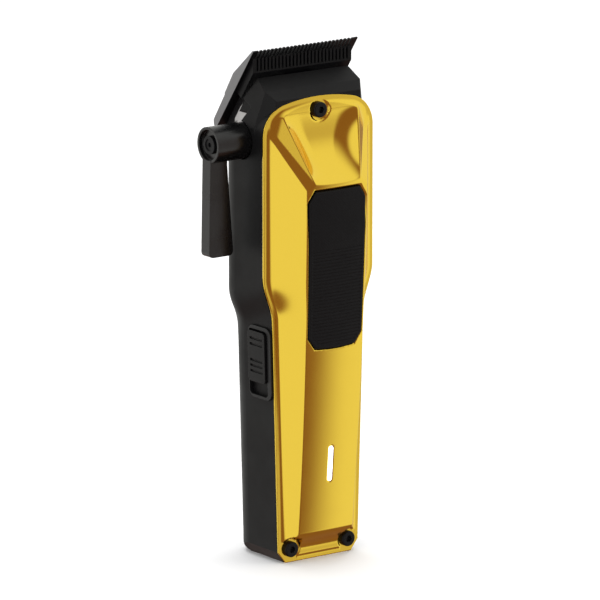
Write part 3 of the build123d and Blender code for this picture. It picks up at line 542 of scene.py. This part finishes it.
rubber = black_or_metal("pad_rubber", (0.0048, 0.0048, 0.0052), 0.62, specular=0.16, grain=0.16,
                        grain_depth=0.02, edge=0.1, edge_wear_and_highlight=1.5, patch=0.05)
pad.data.materials.append(rubber)


# ---------------------------------------------------------------- light bar
# A clear polycarbonate light guide, frosted inside and lit from behind by a white lamp strip.
glowing = bpy.data.materials.new("lit_guide")
glowing.use_nodes = True
guide = glowing.node_tree
guide_shader = guide.nodes["Principled BSDF"]
guide_shader.inputs["Base Color"].default_value = (0.9, 0.92, 0.95, 1.0)
guide_shader.inputs["Emission Strength"].default_value = 2.2
guide_place = guide.nodes.new("ShaderNodeTexCoord")
frost = guide.nodes.new("ShaderNodeTexNoise")
frost.inputs["Scale"].default_value = 500.0
guide.links.new(guide_place.outputs["Object"], frost.inputs["Vector"])
glow = guide.nodes.new("ShaderNodeMix")
glow.data_type = "RGBA"
guide.links.new(frost.outputs["Fac"], glow.inputs["Factor"])
glow.inputs[6].default_value = (0.80, 0.88, 1.0, 1.0)
glow.inputs[7].default_value = (1.0, 1.0, 1.0, 1.0)
guide.links.new(glow.outputs[2], guide_shader.inputs["Emission Color"])
haze = guide.nodes.new("ShaderNodeMapRange")
haze.inputs["To Min"].default_value = 0.15
haze.inputs["To Max"].default_value = 0.30
guide.links.new(frost.outputs["Fac"], haze.inputs["Value"])
guide.links.new(haze.outputs["Result"], guide_shader.inputs["Roughness"])
paint("light_lens", glowing)


# ---------------------------------------------------------------- cover screws
# Three socket-head screws in black-oxide steel, turned and knurl-free, seated in round wells in the lid.
oxide = black_or_metal("oxide_steel", (0.006, 0.006, 0.0065), 0.34, metal=0.2, specular=0.2, grain=0.12,
                       grain_depth=0.003, edge=0.15, edge_wear_and_highlight=4.0)
paint("cover_screws", oxide)


# ---------------------------------------------------------------- comb blade
# The fixed blade: hardened carbon steel, ground to its bevel and coated black, with the ground steel left
# bare at its two ends. It is clamped to its slide by two screws.
def coated_blade(name, colour, bare, bare_from):
    """Black coating over ground steel, left bare on the faces that look sideways."""
    finish = black_or_metal(name, colour, 0.36, metal=0.6, specular=0.5, grain=0.10, grain_depth=0.004,
                            edge=0.12, edge_wear_and_highlight=5.0, brushed=(1.0, 0.12, 0.12))
    tree = finish.node_tree
    shader = tree.nodes["Principled BSDF"]
    coated = shader.inputs["Base Color"].links[0].from_socket
    face = tree.nodes.new("ShaderNodeNewGeometry")
    split = tree.nodes.new("ShaderNodeSeparateXYZ")
    tree.links.new(face.outputs["Normal"], split.inputs[0])
    sideways = tree.nodes.new("ShaderNodeMath")
    sideways.operation = "ABSOLUTE"
    tree.links.new(split.outputs["X"], sideways.inputs[0])
    place = tree.nodes.new("ShaderNodeTexCoord")
    spread = tree.nodes.new("ShaderNodeSeparateXYZ")
    tree.links.new(place.outputs["Object"], spread.inputs[0])
    out = tree.nodes.new("ShaderNodeMath")
    out.operation = "ABSOLUTE"
    tree.links.new(spread.outputs["X"], out.inputs[0])
    at_end = tree.nodes.new("ShaderNodeMath")
    at_end.operation = "GREATER_THAN"
    at_end.inputs[1].default_value = bare_from * mm
    tree.links.new(out.outputs[0], at_end.inputs[0])
    both = tree.nodes.new("ShaderNodeMath")
    both.operation = "MULTIPLY"
    tree.links.new(sideways.outputs[0], both.inputs[0])
    tree.links.new(at_end.outputs[0], both.inputs[1])
    ground_face = tree.nodes.new("ShaderNodeMapRange")
    ground_face.inputs["From Min"].default_value = 0.80
    ground_face.inputs["From Max"].default_value = 0.95
    tree.links.new(both.outputs[0], ground_face.inputs["Value"])
    mix = tree.nodes.new("ShaderNodeMix")
    mix.data_type = "RGBA"
    tree.links.new(ground_face.outputs["Result"], mix.inputs["Factor"])
    tree.links.new(coated, mix.inputs[6])
    mix.inputs[7].default_value = (*bare, 1.0)
    tree.links.new(mix.outputs[2], shader.inputs["Base Color"])
    return finish


comb_finish = coated_blade("coated_comb", (0.008, 0.008, 0.0085), (0.20, 0.20, 0.205), 22.9)
paint("fixed_blade", comb_finish)


# ---------------------------------------------------------------- cutter
# The moving blade: the same coated steel, lighter and ribbed by its own teeth. Its drive fork is moulded
# in acetal and clipped under it.
cutter_finish = black_or_metal("coated_cutter", (0.004, 0.004, 0.0045), 0.40, metal=0.2, specular=0.16,
                               grain=0.10, grain_depth=0.003, edge=0.08, edge_wear_and_highlight=4.0)
paint("moving_blade", cutter_finish)
grey_mould = black_or_metal("grey_acetal", (0.055, 0.055, 0.060), 0.42, specular=0.45, grain=0.3,
                            grain_depth=0.006, edge=0.25, edge_wear_and_highlight=1.4)
paint("drive_fork", grey_mould)


# ---------------------------------------------------------------- blade slide, its screws and the head frame
# The comb blade is clamped to a black steel slide, which runs on the deck of a satin cast alloy frame
# let into the head. The frame shows beside the lever's hub and as a bright line under the blade.
slide_black = black_or_metal("slide_black", (0.016, 0.016, 0.017), 0.38, metal=0.5, specular=0.5, grain=0.15,
                             grain_depth=0.004, edge=0.15, edge_wear_and_highlight=3.0)
paint("blade_carriage", slide_black)
paint("blade_screws", oxide)
cast_alloy = black_or_metal("cast_alloy", (0.58, 0.58, 0.58), 0.40, metal=0.75, specular=0.5, grain=0.35,
                            grain_depth=0.008, edge=0.2, edge_wear_and_highlight=1.25)
paint("head_frame", cast_alloy)


# ---------------------------------------------------------------- taper lever
# A moulded lever in glossy black nylon: a long hub with a recessed end and a flat arm that hangs beside
# the body. A black screw in the recess holds it to the steel crank shaft, which turns in a brass bush.
lever_black = black_or_metal("lever_black", (0.0028, 0.0028, 0.0030), 0.24, specular=0.55, grain=0.3,
                             grain_depth=0.005, edge=0.4, edge_wear_and_highlight=2.4)
paint("taper_lever", lever_black)
paint("lever_screw", oxide)
bright = black_or_metal("bright_steel", (0.56, 0.56, 0.57), 0.28, metal=1.0, specular=0.5, grain=0.2,
                        grain_depth=0.002, edge=0.15, edge_wear_and_highlight=1.2, brushed=(0.1, 1.0, 1.0))
paint("lever_shaft", bright)
brass = black_or_metal("plain_brass", (0.70, 0.50, 0.20), 0.30, metal=1.0, specular=0.5, grain=0.2,
                       grain_depth=0.002, edge=0.15, edge_wear_and_highlight=1.15)
paint("lever_bush", brass)


# ---------------------------------------------------------------- slide switch
# A moulded surround let into the left wall, with a black thumb slide grooved across its two ends. The
# electrical switch sits behind it.
switch_black = black_or_metal("switch_black", (0.006, 0.006, 0.0063), 0.36, specular=0.30, grain=0.25,
                              grain_depth=0.006, edge=0.3, edge_wear_and_highlight=2.4)
paint("switch_panel", switch_black)
button_black = black_or_metal("button_black", (0.004, 0.004, 0.0043), 0.42, specular=0.22, grain=0.25,
                              grain_depth=0.008, edge=0.25, edge_wear_and_highlight=2.6)
paint("switch_button", button_black)
paint("switch_body", grey_mould)


# ---------------------------------------------------------------- charging socket and contacts
# A moulded socket in the base with a centre pin, and two brass contacts flush with the base, for a stand.
socket_black = black_or_metal("socket_black", (0.020, 0.020, 0.021), 0.36, specular=0.5, grain=0.3,
                              grain_depth=0.004, edge=0.2, edge_wear_and_highlight=1.8)
paint("charging_socket", socket_black)
paint("charge_contacts", brass)


# ---------------------------------------------------------------- motor and cam
# A small rotary motor in a drawn steel case, screwed under a pressed steel bracket. Its spindle carries a
# round cam whose off-centre pin works in the cutter's fork.
drawn_steel = black_or_metal("drawn_steel", (0.50, 0.50, 0.51), 0.34, metal=1.0, specular=0.5, grain=0.25,
                             grain_depth=0.003, edge=0.3, edge_wear_and_highlight=1.2, brushed=(1.0, 1.0, 0.08))
for node_name in ("motor_can", "motor_bracket"):
    paint(node_name, drawn_steel)
paint("motor_end_cap", grey_mould)
winding = black_or_metal("wound_rotor", (0.34, 0.17, 0.07), 0.38, metal=0.6, specular=0.5, grain=0.4,
                         grain_depth=0.03, edge=0.3, edge_wear_and_highlight=1.3, brushed=(1.0, 1.0, 4.0))
paint("motor_rotor", winding)
paint("drive_cam", bright)
paint("motor_screws", oxide)


# ---------------------------------------------------------------- battery
# One cylindrical cell in blue shrink wrap, held in a moulded cradle, with nickel strips welded to its ends.
wrap = black_or_metal("cell_wrap", (0.03, 0.10, 0.32), 0.30, specular=0.5, grain=0.8, grain_depth=0.01,
                      edge=0.4, edge_wear_and_highlight=1.3)
paint("battery_cell", wrap)
paint("battery_cradle", grey_mould)
paint("battery_tabs", bright)


# ---------------------------------------------------------------- circuit boards
# Green glass-epoxy boards: the control board in front of the cell, and the lamp strip behind the light bar.
board = black_or_metal("green_board", (0.02, 0.12, 0.05), 0.38, specular=0.5, grain=0.4, grain_depth=0.01,
                       edge=0.2, edge_wear_and_highlight=1.4)
for node_name in ("circuit_board", "light_board"):
    paint(node_name, board)
